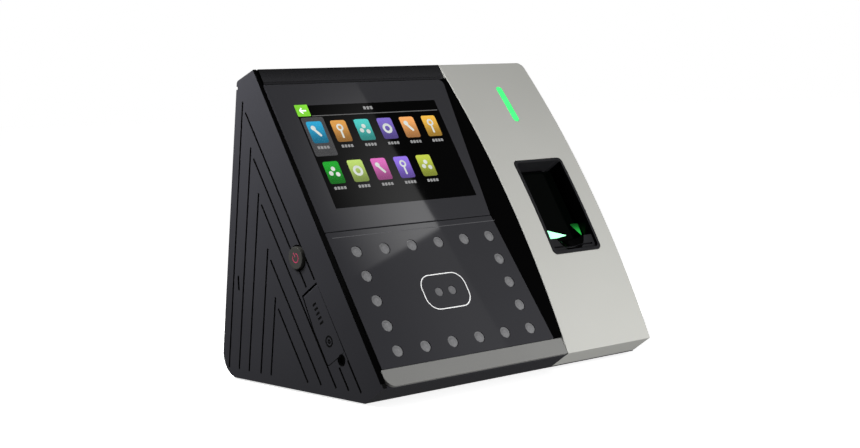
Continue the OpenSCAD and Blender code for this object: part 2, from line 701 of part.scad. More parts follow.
module camera_barrels()
color("#1a1a1d")
on_slope() for (p = cameras) translate([p.x, -p.y, 0]) {
    rod_z(lamp_board_out + touch, -lens_foot, camera_case_r);
    rod_z(-lens_foot - 0.1, -0.25, camera_r);
}

// ---- rear cover and what it carries -----------------------------------------------------

bay_x0 = (body_w - bay_w) / 2 - 4;
bay_x1 = bay_x0 + bay_w;
bay_up0 = cover_low + 6;
bay_up1 = bay_up0 + bay_h;
bay_wall = 1.8;
bay_back = bay_deep + bay_wall;
link_deep = 10;          // length of the sockets behind the bay's floor
row_up = bay_up0 + 15;   // middle of the row of sockets
jack_x = bay_x0 + 13;
net_x = bay_x0 + 36;
block_x = bay_x0 + 65;
jack_r = 3.9;
jack_bore_r = 2.75;
jack_pin_r = 1;
jack_pin_set = 1.2;      // the centre pin starts this far inside the inlet's mouth
socket_from = bay_deep + 0.1;           // sockets start just behind the bay's floor
socket_to = bay_back + link_deep - touch;   // and rest on the connector board
jack_case = [9, 11];
net_case = [15.6, 13.6];
net_hole = [12, 7];
net_notch = [6, 3];
ways = 6;                // wires that the terminal block takes
way_pitch = 5;
way_r = 1.5;             // its screw holes, and its square wire holes
way_w = 3.4;
block_case = [ways * way_pitch + 0.4, 10.4];
block_out = 3;           // how far the block stands out of the bay's floor
speaker_x = body_w - 36;
speaker_up = 104;
speaker_r = 15;
speaker_lip = 2;         // width of the speaker's rim and of its foam ring
magnet_r = 8;
grille_r = 1.1;          // radius and pitch of the speaker's holes
grille_pitch = 3.4;
tamper_x = 18;
tamper_up = 120;
plunger_r = 2.2;
plunger_l = 8;           // depth of the plunger's inner end
plunger_out = 1.8;
guide_l = 7;             // depth of its guide
tamper_travel = 1.6;
key_r = 4.2;             // keyhole: its entry, and half the width and the length of its slot
key_slot = 2.1;
key_run = 8;
key_up = 132;
key_x = [body_w / 2 - 40, body_w / 2 + 40];
vents = 9;
vent_pitch = 4.2;
vent_w = 60;
vent_h = 2;
head_r = 2.8;            // screw heads and the seats they sit in
head_deep = 1.5;
// A block on the rear frame, from its middle, its [width, height] and two depths
module rear_block(x, up, size, deep0, deep1)
    translate([x - size.x / 2, up - size.y / 2, deep0]) cube([size.x, size.y, deep1 - deep0]);

module rear_cover()
color("#333337")
on_rear() difference() {
    union() {
        rear_plate(rounded(box4(wall + gap, cover_low + gap, body_w - wall - gap, cover_top - gap),
            same4(1)), 0, wall);
        rear_plate(rounded(box4(bay_x0 - bay_wall, bay_up0 - bay_wall, bay_x1 + bay_wall,
            bay_up1 + bay_wall), same4(2)), 0, bay_back);
        rod_z(0, guide_l, plunger_r + bay_wall, tamper_x, tamper_up);
    }
    rear_plate(rounded(box4(bay_x0, bay_up0, bay_x1, bay_up1), same4(1.5)), -1, bay_deep);
    rod_z(bay_deep - 1, bay_back + 1, jack_r, jack_x, row_up);
    rear_block(net_x, row_up, net_case + [0.4, 0.4], bay_deep - 1, bay_back + 1);
    rear_block(block_x, row_up, block_case + [0.4, 0.4], bay_deep - 1, bay_back + 1);
    rod_z(-1, guide_l + 1, plunger_r + run, tamper_x, tamper_up);
    for (h = cover_holes) {
        rod_z(-1, wall + 1, screw_r + 0.4, h.x, h.y);
        rod_z(-1, head_deep, head_r + gap, h.x, h.y);
    }
    for (i = [0:vents - 1])
        rear_block(body_w / 2, bay_up1 + 11 + i * vent_pitch, [vent_w, vent_h], -1, wall + 1);
    for (x = key_x) {
        rod_z(-1, wall + 1, key_r, x, key_up);
        rod_z(-1, wall + 1, key_slot, x, key_up + key_run);
        rear_block(x, key_up + key_run / 2, [2 * key_slot, key_run], -1, wall + 1);
    }
    for (ring = [0:3]) for (k = [0:max(1, 6 * ring) - 1])
        rod_z(-1, wall + 1, grille_r, speaker_x + grille_pitch * ring * cos(k * 60 / max(1, ring)),
            speaker_up + grille_pitch * ring * sin(k * 60 / max(1, ring)));
}

module cover_screws()
color("#6d7073")
on_rear() for (h = cover_holes) difference() {
    union() {
        rod_z(0.2, head_deep - touch, head_r, h.x, h.y);
        rod_z(head_deep - 0.1, wall + 8, screw_r, h.x, h.y);
    }
    for (cross = [[3.4, 0.7], [0.7, 3.4]]) rear_block(h.x, h.y, cross, -0.5, 0.8);
}

module connector_board()
color("#1f5a34")
on_rear() rear_plate(rounded(box4(bay_x0 + 2, bay_up0 + 2, bay_x1 - 2, bay_up1 - 2), same4(2)),
    bay_back + link_deep, bay_back + link_deep + board_t);

module dc_jack()
color("#161618")
on_rear() difference() {
    union() {
        rod_z(socket_from, bay_back + 0.1, jack_r - 0.1, jack_x, row_up);
        rear_block(jack_x, row_up, jack_case, bay_back + 0.1, socket_to);
    }
    difference() {
        rod_z(bay_deep - 1, bay_back + 8, jack_bore_r, jack_x, row_up);
        rod_z(socket_from + jack_pin_set, bay_back + 9, jack_pin_r, jack_x, row_up);
    }
}

module network_socket()
color("#b9bcc0")
on_rear() difference() {
    rear_block(net_x, row_up, net_case, socket_from, socket_to);
    rear_block(net_x, row_up - 0.7, net_hole, bay_deep - 1, bay_deep + 9);
    rear_block(net_x, row_up - 4.3, net_notch, bay_deep - 1, bay_deep + 9);
}

module terminal_block()
color("#2f7d4b")
on_rear() difference() {
    rear_block(block_x, row_up, block_case, bay_deep - block_out, socket_to);
    for (i = [0:ways - 1]) {
        x = block_x + (i - (ways - 1) / 2) * way_pitch;
        rear_block(x, row_up - 1.9, [way_w, way_w], bay_deep - block_out - 1, bay_deep + block_out);
        rod_z(bay_deep - block_out - 1, bay_deep - block_out / 2, way_r, x, row_up + 2.5);
    }
}

main_deep = 9;
main_x0 = 26;
main_x1 = 130;
main_up0 = bay_up1 + bay_wall + 5;
main_up1 = cover_top - 14;
main_holes = [for (x = [main_x0 + 5, main_x1 - 5], up = [main_up0 + 5, main_up1 - 5]) [x, up]];
main_back = main_deep + board_t + touch;    // where the board's parts and screws rest
// Parts of the main board, as [across, up, width, height, thickness]
blocks = [[14, 22, 24, 24, 1.8], [46, 18, 16, 12, 1.4], [46, 34, 16, 12, 1.4], [70, 10, 24, 6, 3.4],
    [70, 34, 9, 9, 4]];
cans = 4;
can_r = 2.5;
can_l = 5.5;

module main_board()
color("#1f5a34")
on_rear() difference() {
    rear_plate(rounded(box4(main_x0, main_up0, main_x1, main_up1), same4(2)), main_deep, main_deep + board_t);
    for (h = main_holes) rod_z(0, 20, 1.6, h.x, h.y);
}

module board_parts()
color("#232326")
on_rear() translate([main_x0, main_up0, main_back]) {
    for (b = blocks) translate([b[0], b[1], 0]) cube([b[2], b[3], b[4]]);
    for (i = [0:cans - 1]) rod_z(0, can_l, can_r, 86, 26 + i * 6.4);
}

shank_r = 1.5;          // of the main board's screws

module board_screws()
color("#6d7073")
on_rear() for (h = main_holes) {
    rod_z(main_back, main_back + 1.6, head_r - gap, h.x, h.y);
    rod_z(wall + 0.1, main_deep - run, head_r - gap, h.x, h.y);
    rod_z(main_deep - 1, main_back + 1, shank_r, h.x, h.y);
}

battery = [68, 36, 12];
module backup_battery()
color("#35527a")
translate([-body_w / 2 + 30, mid_reach - 112, foot_h + wall + 0.1])
    linear_extrude(battery[2]) polygon(rounded(box4(0, 0, battery[0], battery[1]), same4(3)));

module speaker()
color("#3a3b3e")
on_rear() translate([speaker_x, speaker_up, wall + 1]) difference() {
    union() {
        cylinder(3, speaker_r, speaker_r);
        cylinder(8, magnet_r, magnet_r);
    }
    translate([0, 0, -0.1]) cylinder(1.1, speaker_r - speaker_lip, speaker_r - 2 * speaker_lip);
}

module speaker_seal()
color("#202022")
on_rear() translate([speaker_x, speaker_up, wall + touch]) difference() {
    cylinder(1 - 2 * touch, speaker_r, speaker_r);
    translate([0, 0, -1]) cylinder(3, speaker_r - speaker_lip, speaker_r - speaker_lip);
}

module tamper_switch()
color("#202326")
on_rear() rear_block(tamper_x, tamper_up, [10, 6.4], plunger_l + 0.5 + tamper_travel,
    plunger_l + 5.5 + tamper_travel);

module tamper_plunger()
color("#d8d8d2")
on_rear() {
    rod_z(-plunger_out, plunger_l, plunger_r, tamper_x, tamper_up);
    rod_z(guide_l + 0.1, guide_l + 1.1, plunger_r + 1, tamper_x, tamper_up);
}

// ---- side controls ----------------------------------------------------------------------

io_x = 17;              // depth of the side board behind the side
io_s0 = button_down - 9;
io_s1 = flap_end + 4;
usb_skin = 0.8;
usb_start = 2.3;        // depth of the socket's mouth
tongue = [11.2, 1.7];   // width and thickness of the tongue in the socket
key_half = 3;           // half the width of the two switches
key_start = 2.6;        // depth of the reset button's face
key_end = 9;
flange_t = 1;           // thickness of the buttons' retaining flanges

module io_board()
color("#1f5a34")
on_slope() slope_box(io_x, io_x + board_t, io_s0, io_s1, -flap_in - 9, -flap_in + 8);

module usb_socket()
color("#b9bcc0")
on_slope() difference() {
    slope_box(usb_start, io_x - touch, usb_down - usb_w / 2, usb_down + usb_w / 2,
        -flap_in - usb_t / 2, -flap_in + usb_t / 2);
    difference() {
        slope_box(1, 12, usb_down - usb_w / 2 + usb_skin, usb_down + usb_w / 2 - usb_skin,
            -flap_in - usb_t / 2 + usb_skin, -flap_in + usb_t / 2 - usb_skin);
        slope_box(usb_start + 0.7, 13, usb_down - tongue.x / 2, usb_down + tongue.x / 2,
            -flap_in + 0.3, -flap_in + 0.3 + tongue.y);
    }
}

module reset_button()
color("#c9c9c4")
on_slope() {
    rod_x(key_start, key_end, reset_r, -reset_down, -flap_in);
    rod_x(bay_block + 0.3, bay_block + 0.3 + flange_t, reset_r + 1.2, -reset_down, -flap_in);
}

module reset_switch()
color("#202326")
on_slope() slope_box(key_end + 0.8, io_x - touch, reset_down - key_half, reset_down + key_half,
    -flap_in - key_half, -flap_in + key_half);

module power_switch()
color("#202326")
on_slope() slope_box(stem_l + button_travel + stop_gap, io_x - touch,
    button_down - key_half, button_down + key_half, button_z - key_half, button_z + key_half);

dish = 0.2;             // how far the button's face is dished
edge_r = 0.5;           // its rounded rim
module power_button()
color("#4a4a4c")
on_slope() translate([0, button_y, button_z]) {
    rotate([0, 90, 0]) rotate_extrude()
        polygon(concat([[0, dish - button_proud], [button_r * 0.55, dish * 0.8 - button_proud],
            [button_r * 0.82, -button_proud]],
            [for (a = [0:30:90]) [button_r - edge_r * (1 - sin(a)), edge_r * (1 - cos(a)) - button_proud]],
            [[button_r, cap_deep], [0, cap_deep]]));
    rod_x(cap_deep - 0.5, stem_l, stem_r);
    rod_x(guide_deep + gap, guide_deep + gap + flange_t, stem_r + 1);
}

module side_flap()
color("#3a3a3e")
on_slope() difference() {
    union() {
        translate([flap_sunk, 0, -flap_in]) rotate([0, 90, 0]) linear_extrude(flap_t)
            polygon(flap_outline(hinge_down, 0));
        rod_z(-flap_in - flap_w / 2, -flap_in + flap_w / 2, barrel_r, pin_x, -hinge_down);
    }
    rod_z(-flap_in - flap_w / 2 - 1, -flap_in + flap_w / 2 + 1, pin_r + run, pin_x, -hinge_down);
    rod_x(-1, 3, scoop_r - 0.3, -scoop_down, scoop_z);
}

module flap_pin()
color("#a9adb1")
on_slope() rod_z(-flap_in - flap_w / 2 - pin_side + 0.1, -flap_in + flap_w / 2 + pin_side - 0.1,
    pin_r - 0.005, pin_x, -hinge_down);     // a light press fit in the cheeks

// ---- flat cables ------------------------------------------------------------------------

cable_t = 0.4;
// A thin strip that follows a path of [reach, height]
function strip_path(pts) =
    let (n = [for (i = [0:len(pts) - 1]) let (d = unit(pts[min(i + 1, len(pts) - 1)] - pts[max(i - 1, 0)]))
        [-d.y, d.x] * cable_t / 2])
    concat([for (i = [0:len(pts) - 1]) pts[i] + n[i]], [for (i = [len(pts) - 1:-1:0]) pts[i] - n[i]]);
// A slack curve between two points, leaving each along its own direction
function slack(p, u, q, v, n = 14) =
    [for (i = [0:n]) let (t = i / n) p * pow(1 - t, 3) + (p + u) * 3 * t * pow(1 - t, 2)
        + (q + v) * 3 * t * t * (1 - t) + q * pow(t, 3)];

module screen_ribbon()
color("#c58a3d")
along_x(main_x0 + 72, main_x0 + 92, strip_path(slack(
    slope_at(display_s1 - 4, tray_out - tray_t - 0.4), [-8, 0],
    rear_at(main_up0 + 13, main_deep + board_t + 3.8), [10, 0])));

module lamp_ribbon()
color("#c58a3d")
along_x(main_x0 + 46, main_x0 + 58, strip_path(slack(
    slope_at(lamp_s0 + 8, lamp_board_out - board_t - 0.4), [-16, -4],
    rear_at(main_up0 + 5, main_deep + board_t + 0.4), [14, 0])));

housing();
rear_cover();
front_frame();
screen_glass();
lamp_window();
trim_strip();
sensor_panel();
panel_flank();
window_frame();
sensor_prism();
sensor_module();
status_light();
display_panel();
display_tray();
lamp_board();
infrared_lamps();
camera_board();
camera_barrels();
main_board();
board_parts();
connector_board();
dc_jack();
network_socket();
terminal_block();
backup_battery();
speaker();
speaker_seal();
io_board();
usb_socket();
reset_switch();
reset_button();
power_switch();
power_button();
side_flap();
flap_pin();
tamper_switch();
tamper_plunger();
screen_ribbon();
lamp_ribbon();
rubber_feet();
cover_screws();
board_screws();
tray_screws();
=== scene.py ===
import json
from math import atan, cos, pi, radians, sin

import bmesh
import bpy
from mathutils import Matrix, Vector


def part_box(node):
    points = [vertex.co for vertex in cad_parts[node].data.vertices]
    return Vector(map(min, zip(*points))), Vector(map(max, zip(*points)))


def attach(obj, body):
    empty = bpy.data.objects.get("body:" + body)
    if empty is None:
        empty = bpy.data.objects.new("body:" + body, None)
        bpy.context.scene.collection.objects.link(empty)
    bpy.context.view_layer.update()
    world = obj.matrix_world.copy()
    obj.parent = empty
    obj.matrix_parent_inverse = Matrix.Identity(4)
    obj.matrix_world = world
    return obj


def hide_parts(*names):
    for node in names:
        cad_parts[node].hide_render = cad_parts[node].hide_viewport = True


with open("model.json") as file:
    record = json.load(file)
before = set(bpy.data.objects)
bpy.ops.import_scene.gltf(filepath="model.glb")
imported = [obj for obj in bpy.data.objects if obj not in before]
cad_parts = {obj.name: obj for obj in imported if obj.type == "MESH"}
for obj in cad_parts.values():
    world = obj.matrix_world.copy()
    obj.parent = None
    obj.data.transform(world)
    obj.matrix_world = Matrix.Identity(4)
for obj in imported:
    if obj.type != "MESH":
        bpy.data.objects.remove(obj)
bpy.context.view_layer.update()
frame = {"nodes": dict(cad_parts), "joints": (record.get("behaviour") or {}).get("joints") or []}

# ---- camera ----------------------------------------------------------------------------
# A long lens a little above the top of the terminal, to the left of its front. It is tipped
# down and rolled by a small amount, so the terminal's top edge rises to the left.
camera_data = bpy.data.cameras.new("camera")
camera_data.lens = 68.12
camera_data.sensor_width = 36.0
camera = bpy.data.objects.new("camera", camera_data)
heading, tip, roll = radians(-40.95), radians(5.05), radians(-1.885)
camera.matrix_world = (
    Matrix.Translation((-0.58536, -0.66976, 0.15789))
    @ Matrix.Rotation(heading, 4, "Z")
    @ Matrix.Rotation(pi / 2 - tip, 4, "X")
    @ Matrix.Rotation(roll, 4, "Z")
)
bpy.context.scene.collection.objects.link(camera)
bpy.context.scene.camera = camera
bpy.context.scene.view_settings.view_transform = "Standard"

# ---- the room --------------------------------------------------------------------------
# A white floor and an even white surround, which gives only a faint reflection. A small soft
# light hangs over the left side, and one stands low in front and lights the silver panel.


def from_bmesh(name, work):
    """A new object at the origin from a bmesh, which is freed."""
    mesh = bpy.data.meshes.new(name)
    work.to_mesh(mesh)
    work.free()
    thing = bpy.data.objects.new(name, mesh)
    bpy.context.scene.collection.objects.link(thing)
    return thing


world = bpy.data.worlds.new("studio")
bpy.context.scene.world = world
world.use_nodes = True
sky_nodes, sky_links = world.node_tree.nodes, world.node_tree.links
sky_nodes["Background"].inputs["Color"].default_value = (1.0, 1.0, 1.0, 1.0)
sky_light, sky_seen, sky_mirrored = 0.26, 1.0, 0.07
sky_path = sky_nodes.new("ShaderNodeLightPath")
for_eye, for_gloss = sky_nodes.new("ShaderNodeMath"), sky_nodes.new("ShaderNodeMath")
for_eye.operation = for_gloss.operation = "MULTIPLY_ADD"
for_eye.inputs[1].default_value = sky_seen - sky_light
for_eye.inputs[2].default_value = sky_light
for_gloss.inputs[1].default_value = sky_mirrored - sky_light
sky_links.new(sky_path.outputs["Is Camera Ray"], for_eye.inputs[0])
sky_links.new(sky_path.outputs["Is Glossy Ray"], for_gloss.inputs[0])
sky_links.new(for_eye.outputs[0], for_gloss.inputs[2])
sky_links.new(for_gloss.outputs[0], sky_nodes["Background"].inputs["Strength"])

floor_half = 6.0
floor_work = bmesh.new()
bmesh.ops.create_grid(floor_work, x_segments=2, y_segments=2, size=floor_half)
floor = from_bmesh("floor", floor_work)
floor_paint = bpy.data.materials.new("floor_paint")
floor_paint.use_nodes = True
floor_shader = floor_paint.node_tree.nodes["Principled BSDF"]
floor_shader.inputs["Base Color"].default_value = (0.93, 0.93, 0.93, 1.0)
floor_shader.inputs["Roughness"].default_value = 0.9
floor_shader.inputs["Emission Color"].default_value = (1.0, 1.0, 1.0, 1.0)
floor_shader.inputs["Emission Strength"].default_value = 0.78
floor.data.materials.append(floor_paint)
floor.visible_diffuse = False
floor.visible_glossy = False


def soft_light(name, place, aim, size, watts):
    """A square soft light at a place, turned to a point."""
    lamp = bpy.data.lights.new(name, "AREA")
    lamp.size = size
    lamp.energy = watts
    thing = bpy.data.objects.new(name, lamp)
    thing.location = place
    thing.rotation_euler = (Vector(aim) - Vector(place)).to_track_quat("-Z", "Y").to_euler()
    thing.visible_glossy = False
    thing.visible_camera = False
    bpy.context.scene.collection.objects.link(thing)
    return thing


soft_light("side_light", (-0.24, 0.10, 0.27), (-0.097, 0.04, 0.13), 0.14, 2.0)
soft_light("front_light", (0.10, -0.55, 0.04), (0.05, 0.0, 0.04), 0.14, 4.0)

# ---- directions of the sloping front ---------------------------------------------------
# The flap's hinge pin stands square to the sloping front, so its axis gives the slope. Work
# on the front is done flat, as across, up the slope and out of it, and is then turned.
hinge = next(j for j in frame["joints"] if j["child"] == "side_flap")
across = Vector((1.0, 0.0, 0.0))
out = -Vector(hinge["axis"]).normalized()
up = out.cross(across)
slope = Matrix((across, up, out)).transposed().to_4x4()


def span(node, direction):
    """Lowest and highest reach of a CAD node's points along a direction."""
    reach = [v.co.dot(direction) for v in frame["nodes"][node].data.vertices]
    return min(reach), max(reach)


# ---- soft box that the glass reflects --------------------------------------------------
# A tall card with a straight right-hand edge. Only a strip beside that edge is lit, brightest at
# the height where the seam between the two glasses mirrors it, so the glass shows a slanting wedge.
mm = 0.001
glass_middle = Vector((-0.022, -0.0216, 0.085))
throw = Vector((0.6530, -0.4060, 0.6400)).normalized()
card_x = Vector((0, 0, 1)).cross(throw).normalized()
card_y = throw.cross(card_x)
edge_slant = 0.404
edge_turn = atan(edge_slant)
card_away, edge_aside = 1.4, 4 * mm
card_long = (card_x * sin(edge_turn) + card_y * cos(edge_turn)).normalized()
card_wide = card_long.cross(throw).normalized()
card_width, card_height = 0.62, 1.5
card_work = bmesh.new()
bmesh.ops.create_grid(card_work, x_segments=1, y_segments=1, size=0.5)
bmesh.ops.scale(card_work, verts=card_work.verts, vec=(card_width, card_height, 1.0))
card = from_bmesh("soft_box", card_work)
card_edge = glass_middle + throw * card_away + card_x * edge_aside
card.matrix_world = Matrix.Translation(card_edge - card_wide * card_width / 2) @ Matrix(
    (card_wide, card_long, card_wide.cross(card_long))
).transposed().to_4x4()
card_cloth = bpy.data.materials.new("soft_box_cloth")
card_cloth.use_nodes = True
card_nodes, card_links = card_cloth.node_tree.nodes, card_cloth.node_tree.links
card_nodes.clear()
card_place = card_nodes.new("ShaderNodeTexCoord")
card_split = card_nodes.new("ShaderNodeSeparateXYZ")
card_fade, card_rise, card_drop = (card_nodes.new("ShaderNodeMapRange") for _ in range(3))
card_both, card_all = card_nodes.new("ShaderNodeMath"), card_nodes.new("ShaderNodeMath")
card_both.operation = card_all.operation = "MULTIPLY"
card_glow = card_nodes.new("ShaderNodeEmission")
card_out = card_nodes.new("ShaderNodeOutputMaterial")
lit_width, edge_full, brightest = 0.15, 0.01, 1.7
for node, from_min, from_max, to_min, to_max in (
    (card_fade, card_width / 2 - lit_width, card_width / 2 - edge_full, 0.0, brightest),
    (card_rise, 0.26, -0.01, 0.05, 1.0),
    (card_drop, -0.026, -0.018, 0.10, 1.0),
):
    node.interpolation_type = "SMOOTHSTEP"
    node.inputs["From Min"].default_value = from_min
    node.inputs["From Max"].default_value = from_max
    node.inputs["To Min"].default_value = to_min
    node.inputs["To Max"].default_value = to_max
card_links.new(card_place.outputs["Object"], card_split.inputs[0])
card_links.new(card_split.outputs["X"], card_fade.inputs["Value"])
card_links.new(card_split.outputs["Y"], card_rise.inputs["Value"])
card_links.new(card_split.outputs["Y"], card_drop.inputs["Value"])
card_links.new(card_rise.outputs["Result"], card_both.inputs[0])
card_links.new(card_drop.outputs["Result"], card_both.inputs[1])
card_links.new(card_both.outputs[0], card_all.inputs[0])
card_links.new(card_fade.outputs["Result"], card_all.inputs[1])
card_links.new(card_all.outputs[0], card_glow.inputs["Strength"])
card_links.new(card_glow.outputs[0], card_out.inputs["Surface"])
card.data.materials.append(card_cloth)
card.visible_diffuse = False
card.visible_shadow = False
card.visible_camera = False

# ---- housing ---------------------------------------------------------------------------
# Side, roof, base and right flank are one moulding in charcoal plastic with a fine even
# texture. Its edges are broken by a fifth of a millimetre, as a mould leaves them.


def finish(name, dark, light, patch, grain, rough, relief=0.0, **fixed):
    """A procedural finish: patchy colour, fine grain in the gloss, and relief in metres."""
    material = bpy.data.materials.new(name)
    material.use_nodes = True
    nodes, links = material.node_tree.nodes, material.node_tree.links
    shader = nodes["Principled BSDF"]
    place = nodes.new("ShaderNodeTexCoord")
    broad, fine = nodes.new("ShaderNodeTexNoise"), nodes.new("ShaderNodeTexNoise")
    broad.inputs["Scale"].default_value = 1 / patch
    broad.inputs["Detail"].default_value = 3.0
    fine.inputs["Scale"].default_value = 1 / grain
    fine.inputs["Detail"].default_value = 2.0
    tone = nodes.new("ShaderNodeMix")
    tone.data_type = "RGBA"
    tone.inputs["A"].default_value = (*dark, 1.0)
    tone.inputs["B"].default_value = (*light, 1.0)
    gloss = nodes.new("ShaderNodeMapRange")
    gloss.inputs["From Min"].default_value = 0.3
    gloss.inputs["From Max"].default_value = 0.7
    gloss.inputs["To Min"].default_value = rough[0]
    gloss.inputs["To Max"].default_value = rough[1]
    for noise in (broad, fine):
        links.new(place.outputs["Object"], noise.inputs["Vector"])
    links.new(broad.outputs["Fac"], tone.inputs["Factor"])
    links.new(tone.outputs["Result"], shader.inputs["Base Color"])
    links.new(fine.outputs["Fac"], gloss.inputs["Value"])
    links.new(gloss.outputs["Result"], shader.inputs["Roughness"])
    if relief:
        bump = nodes.new("ShaderNodeBump")
        bump.inputs["Distance"].default_value = relief
        links.new(fine.outputs["Fac"], bump.inputs["Height"])
        links.new(bump.outputs["Normal"], shader.inputs["Normal"])
    for socket, value in fixed.items():
        shader.inputs[socket.replace("_", " ")].default_value = value
    return material


def dress(thing, material, body="root", edge=0.0, bend=38, second=None):
    """Gives a piece its finish or two, its body, its broken edges and its shading."""
    work = bmesh.new()
    work.from_mesh(thing.data)
    for face in work.faces:
        face.smooth = True
    for line in work.edges:
        line.smooth = len(line.link_faces) == 2 and line.calc_face_angle(0.0) < radians(bend)
    work.to_mesh(thing.data)
    work.free()
    thing.data.materials.append(material)
    if second:
        thing.data.materials.append(second)
    if edge:
        broken = thing.modifiers.new("broken_edges", "BEVEL")
        broken.width = edge
        broken.segments = 2
        broken.limit_method = "ANGLE"
        broken.angle_limit = radians(bend)
        broken.use_clamp_overlap = True
        broken.harden_normals = False
        even = thing.modifiers.new("even_shading", "WEIGHTED_NORMAL")
        even.keep_sharp = True
    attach(thing, body)
    return thing


def moulding(
    name, node, material, body="root", edge=0.25 * mm, bend=38, second=None, where=None
):
    """A finished copy of a CAD node, merged, with flat faces made whole.

    The faces that where picks are given the second finish.
    """
    work = bmesh.new()
    work.from_mesh(frame["nodes"][node].data)
    bmesh.ops.remove_doubles(work, verts=work.verts, dist=0.002 * mm)
    bmesh.ops.dissolve_limit(
        work, angle_limit=radians(0.3), verts=work.verts, edges=work.edges, use_dissolve_boundaries=False
    )
    for face in work.faces if where else ():
        face.material_index = int(where(face))
    piece = from_bmesh(name, work)
    dress(piece, material, body, edge, bend, second)
    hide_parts(node)
    return piece


charcoal = finish(
    "charcoal_plastic", (0.019, 0.019, 0.022), (0.024, 0.024, 0.028), 0.05, 0.5 * mm, (0.38, 0.52), 0.012 * mm
)
# The grooves, the button's well and the flap's pocket get a near-black finish: painted shade where they lie
# in shadow.
recess_painted_shade = finish(
    "recess_painted_shade", (0.002, 0.002, 0.002), (0.004, 0.004, 0.004), 0.02, 0.5 * mm, (0.8, 0.9)
)
left_side, right_side = span("housing", across)
recess_deep, groove_deep, skin = 6.6 * mm, 1.2 * mm, 0.02 * mm


def in_shaded_recess(face):
    """True for a face that lies wholly inside a groove or recess of either side."""
    reach = [v.co.x for v in face.verts]
    left = max(reach) < left_side + recess_deep and max(reach) > left_side + skin
    right = min(reach) > right_side - groove_deep and min(reach) < right_side - skin
    return left or right


moulding(
    "housing_shell",
    "housing",
    charcoal,
    edge=0.2 * mm,
    second=recess_painted_shade,
    where=in_shaded_recess,
)

# ---- rear cover ------------------------------------------------------------------------
# A flat moulding in the same plastic, a shade coarser, with the connector bay, the vents, the
# keyholes and the speaker's holes in it. Four screws hold it.
moulding(
    "rear_cover_shell",
    "rear_cover",
    finish(
        "cover_plastic", (0.020, 0.020, 0.022), (0.027, 0.027, 0.030), 0.04, 0.7 * mm, (0.42, 0.58), 0.02 * mm
    ),
    edge=0.2 * mm,
)

# ---- front frame, panel flank and well -------------------------------------------------
# Black mouldings. The frame holds the glass, shows as a satin band above it and as a gloss rim to its left.
# The flank fills the step up to the silver panel, and the well has a rim and a rest. Their near-black gloss
# is partly their own black and partly painted shade, in the gap beside the glass, the flank's step and the
# well.
black_gloss_and_shade = finish(
    "gloss_black_and_painted_shade", (0.0006, 0.0006, 0.0006), (0.0010, 0.0010, 0.0011), 0.05, 0.8 * mm, (0.14, 0.2)
)
black_gloss_and_shade.node_tree.nodes["Principled BSDF"].inputs["Specular IOR Level"].default_value = 0.12
# The band's finish runs from dark at its top edge to light by the glass: painted shading.
band_satin_painted_shading = finish(
    "band_satin_painted_shading", (0.007, 0.007, 0.008), (0.019, 0.019, 0.021), 0.06, 0.6 * mm, (0.26, 0.36), 0.006 * mm
)
band_foot = span("screen_glass", up)[1]
band_head = span("front_frame", up)[1]
rim_w = 2.9 * mm
rim_right = left_side + rim_w


def fade(material, low, high, direction):
    """Makes a finish run from its dark colour at low to its light one at high, along a direction."""
    nodes, links = material.node_tree.nodes, material.node_tree.links
    tone = next(n for n in nodes if n.type == "MIX")
    reach = nodes.new("ShaderNodeVectorMath")
    reach.operation = "DOT_PRODUCT"
    reach.inputs[1].default_value = direction
    run = nodes.new("ShaderNodeMapRange")
    run.inputs["From Min"].default_value = low
    run.inputs["From Max"].default_value = high
    run.interpolation_type = "SMOOTHSTEP"
    links.new(next(n for n in nodes if n.type == "TEX_COORD").outputs["Object"], reach.inputs[0])
    links.new(reach.outputs["Value"], run.inputs["Value"])
    links.new(run.outputs["Result"], tone.inputs["Factor"])
    return material


def in_band(face):
    """True for a face of the frame's band, above the glass and right of the rim."""
    at = face.calc_center_median()
    return at.dot(up) > band_foot and at.x > rim_right


well_black = finish(
    "well_black", (0.010, 0.010, 0.011), (0.020, 0.020, 0.022), 0.02, 0.4 * mm, (0.28, 0.40), 0.008 * mm
)
moulding(
    "front_band",
    "front_frame",
    black_gloss_and_shade,
    edge=0.15 * mm,
    second=fade(band_satin_painted_shading, band_head, band_foot, up),
    where=in_band,
)
moulding("flank", "panel_flank", black_gloss_and_shade, edge=0.15 * mm)


def in_shaded_well(face):
    """True for the well's side walls, its floor ring and whatever looks up the slope, which get the
    near-black gloss as painted shade.
    """
    return face.normal.dot(out) < 0.9 and face.normal.dot(up) > -0.5


moulding("well_rim", "window_frame", well_black, edge=0.3 * mm, second=black_gloss_and_shade, where=in_shaded_well)

# ---- glass -----------------------------------------------------------------------------
# Two polished plates: one over the display and one over the lamps and cameras. Both are
# printed dark on the back, so they show charcoal with a sharp reflection on top.
smoked = finish(
    "smoked_glass",
    (0.026, 0.026, 0.029),
    (0.031, 0.031, 0.035),
    0.08,
    0.02,
    (0.02, 0.035),
    IOR=1.5,
    Coat_Weight=0.3,
)
moulding("display_glass", "screen_glass", smoked, edge=0.2 * mm)
moulding("lamp_glass", "lamp_window", smoked, edge=0.12 * mm)


def on_front(name, work, material, body="root"):
    """Turns flat work on to the sloping front and finishes it."""
    bmesh.ops.transform(work, matrix=slope, verts=work.verts)
    return dress(from_bmesh(name, work), material, body)


glass_face = span("screen_glass", out)[1]
layer = 0.02 * mm
# a thin lighter line runs across the lamp window, just under the seam: a painted highlight
window_left, window_right = span("lamp_window", across)
line_start, line_stop, line_down, line_w = 3 * mm, 1 * mm, 3.1 * mm, 0.35 * mm
line_left, line_right = window_left + line_start, window_right - line_stop
line_up = span("lamp_window", up)[1] - line_down
line = bmesh.new()
bmesh.ops.create_cube(line, size=1.0)
bmesh.ops.scale(line, verts=line.verts, vec=(line_right - line_left, line_w, layer))
line_at = ((line_left + line_right) / 2, line_up, glass_face + layer / 2)
bmesh.ops.translate(line, verts=line.verts, vec=line_at)
on_front(
    "window_line",
    line,
    finish("painted_highlight_line", (0.075, 0.075, 0.08), (0.10, 0.10, 0.105), 8 * mm, 0.4 * mm, (0.2, 0.3)),
)

